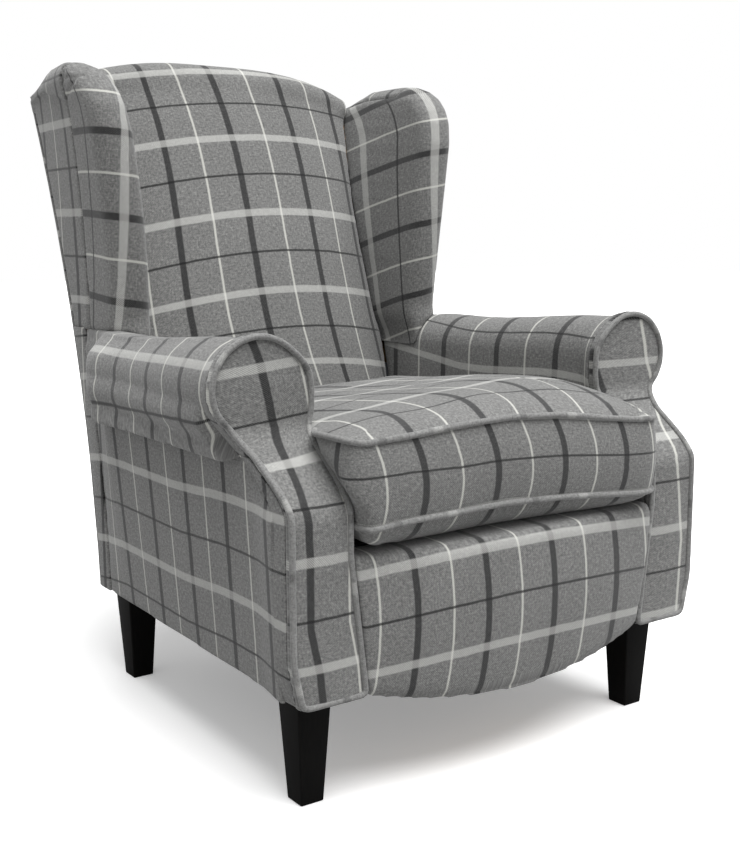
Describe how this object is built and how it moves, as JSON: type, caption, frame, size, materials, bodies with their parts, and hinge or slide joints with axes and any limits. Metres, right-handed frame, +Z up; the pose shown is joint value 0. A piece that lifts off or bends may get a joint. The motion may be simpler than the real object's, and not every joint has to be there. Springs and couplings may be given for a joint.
{
  "type": "fireside chair",
  "caption": "Wing-back fireside chair with scroll arms, a loose box cushion on a sprung seat, a bowed front border and square tapered legs.",
  "frame": {"origin": "on the floor, under the centre of the chair's bounding box", "axes": "+X to the right of someone facing the chair's front, +Y from the seat to the back, +Z up; the chair is symmetrical about X = 0"},
  "size_m": [0.802, 0.968, 1.0495],
  "materials": {
    "beech": "sawn, unfinished",
    "spring_steel": "zinc plated wire",
    "deck_felt": "black platform cloth over felt",
    "elastic_webbing": "woven elastic webbing",
    "dust_cloth": "non-woven, matte",
    "black_wood": "black stain under satin lacquer",
    "glide_plastic": "moulded",
    "check_wool": "heathered wool-look twill with a woven window check",
    "cushion_wool": "heathered wool-look twill with a woven window check",
    "piping_wool": "the same twill cut on the bias over cord",
    "cushion_foam": "foam wrapped in fibre",
    "zip_tape": "woven tape with a nylon coil",
    "zip_metal": "cast slider"
  },
  "bodies": {
    "chair": {"front_rail": "beech", "bow_former": "beech", "back_rail": "beech", "side_rail_left": "beech", "side_rail_right": "beech", "back_post_left": "beech", "back_post_right": "beech", "crest_rail": "beech", "lower_back_rail": "beech", "scroll_board_left": "beech", "scroll_board_right": "beech", "arm_board_left": "beech", "arm_board_right": "beech", "arm_stump_left": "beech", "arm_stump_right": "beech", "wing_board_left": "beech", "wing_board_right": "beech", "corner_blocks": "beech", "seat_springs": "spring_steel", "spring_clips": "spring_steel", "leg_bolts": "spring_steel", "seat_deck": "deck_felt", "back_webbing": "elastic_webbing", "dust_cover": "dust_cloth", "front_leg_left": "black_wood", "front_leg_right": "black_wood", "rear_leg_left": "black_wood", "rear_leg_right": "black_wood", "leg_glides": "glide_plastic", "inside_back": "check_wool", "outside_back": "check_wool", "inside_wing_left": "check_wool", "inside_wing_right": "check_wool", "outside_wing_left": "check_wool", "outside_wing_right": "check_wool", "inside_arm_left": "check_wool", "inside_arm_right": "check_wool", "outside_arm_left": "check_wool", "outside_arm_right": "check_wool", "post_cover_left": "check_wool", "post_cover_right": "check_wool", "arm_facing_left": "check_wool", "arm_facing_right": "check_wool", "front_border": "check_wool", "facing_piping_left": "piping_wool", "facing_piping_right": "piping_wool"},
    "cushion": {"seat_cushion": "cushion_wool", "cushion_core": "cushion_foam", "cushion_piping_top": "piping_wool", "cushion_piping_bottom": "piping_wool", "zip_tape": "zip_tape"},
    "zip_pull": {"zip_slider": "zip_metal"}
  },
  "joints": [
    {"name": "cushion_lift", "type": "slide", "parent": "chair", "child": "cushion", "axis": [0, 0, 1], "range_m": [0, 0.26]},
    {"name": "zip_run", "type": "slide", "parent": "cushion", "child": "zip_pull", "axis": [-1, 0, 0], "range_m": [0, 0.418]}
  ]
}
